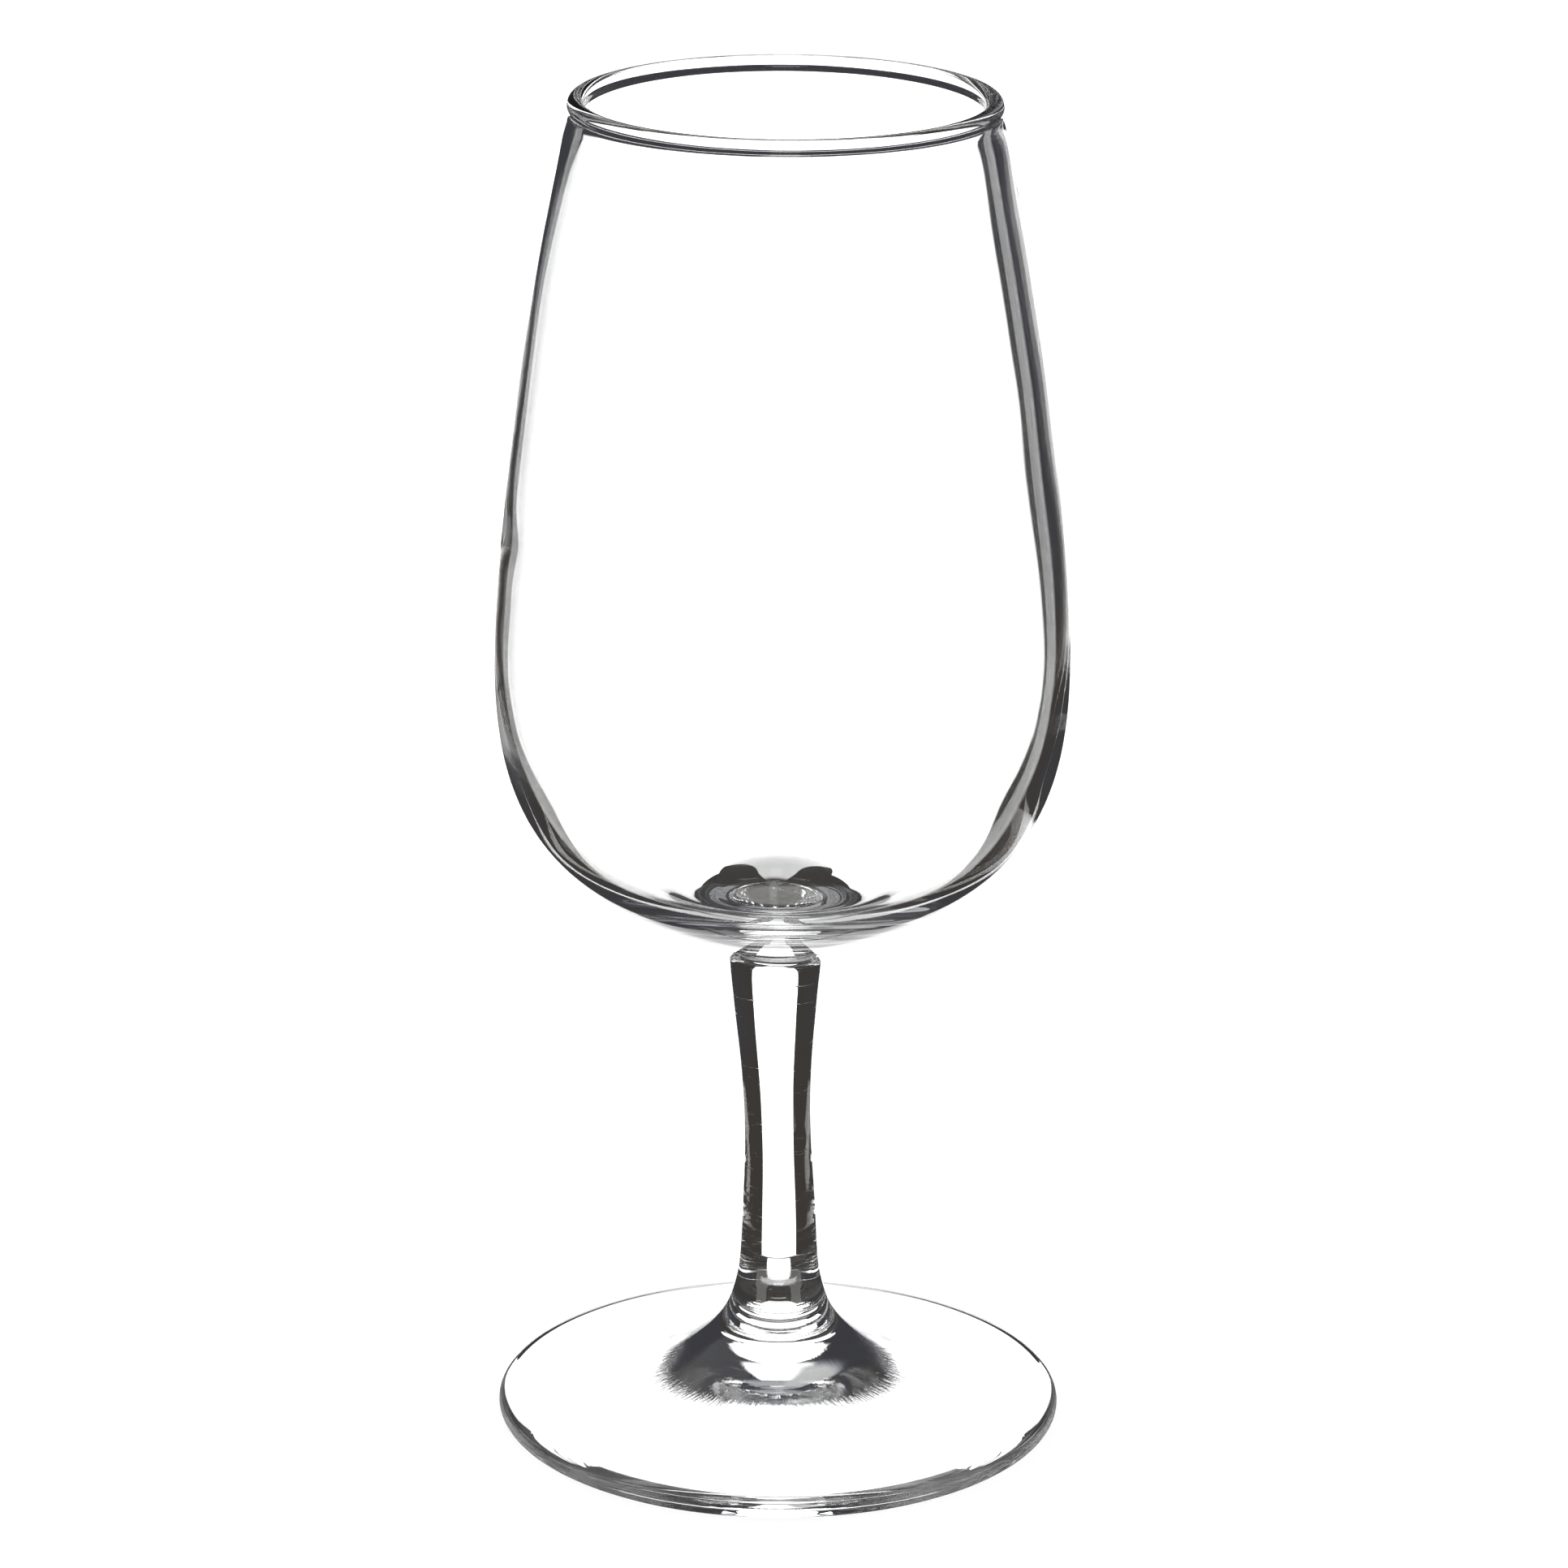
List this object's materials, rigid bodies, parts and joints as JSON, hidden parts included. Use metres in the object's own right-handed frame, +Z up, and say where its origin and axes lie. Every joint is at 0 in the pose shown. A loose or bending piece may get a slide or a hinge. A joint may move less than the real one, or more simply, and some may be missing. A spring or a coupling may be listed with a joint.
{
  "type": "port glass",
  "caption": "Small clear stemmed glass: tulip bowl with a beaded rim, fused to a solid waisted stem on a round, shallow cone foot. For port or sherry; holds about 13 cl to the brim.",
  "frame": {"origin": "on the surface the glass stands on, under its axis: the centre of the foot's resting plane", "axes": "+Z up along the axis of the glass; X and Y are any two level directions, because the glass is round"},
  "size_m": [0.0546, 0.0546, 0.13],
  "materials": {
    "clear_glass": "clear colourless soda-lime glass, fire-polished and smooth, faint grey-green in thick sections"
  },
  "bodies": {
    "root": {"bowl": "clear_glass", "stem": "clear_glass", "foot": "clear_glass"}
  },
  "joints": []
}
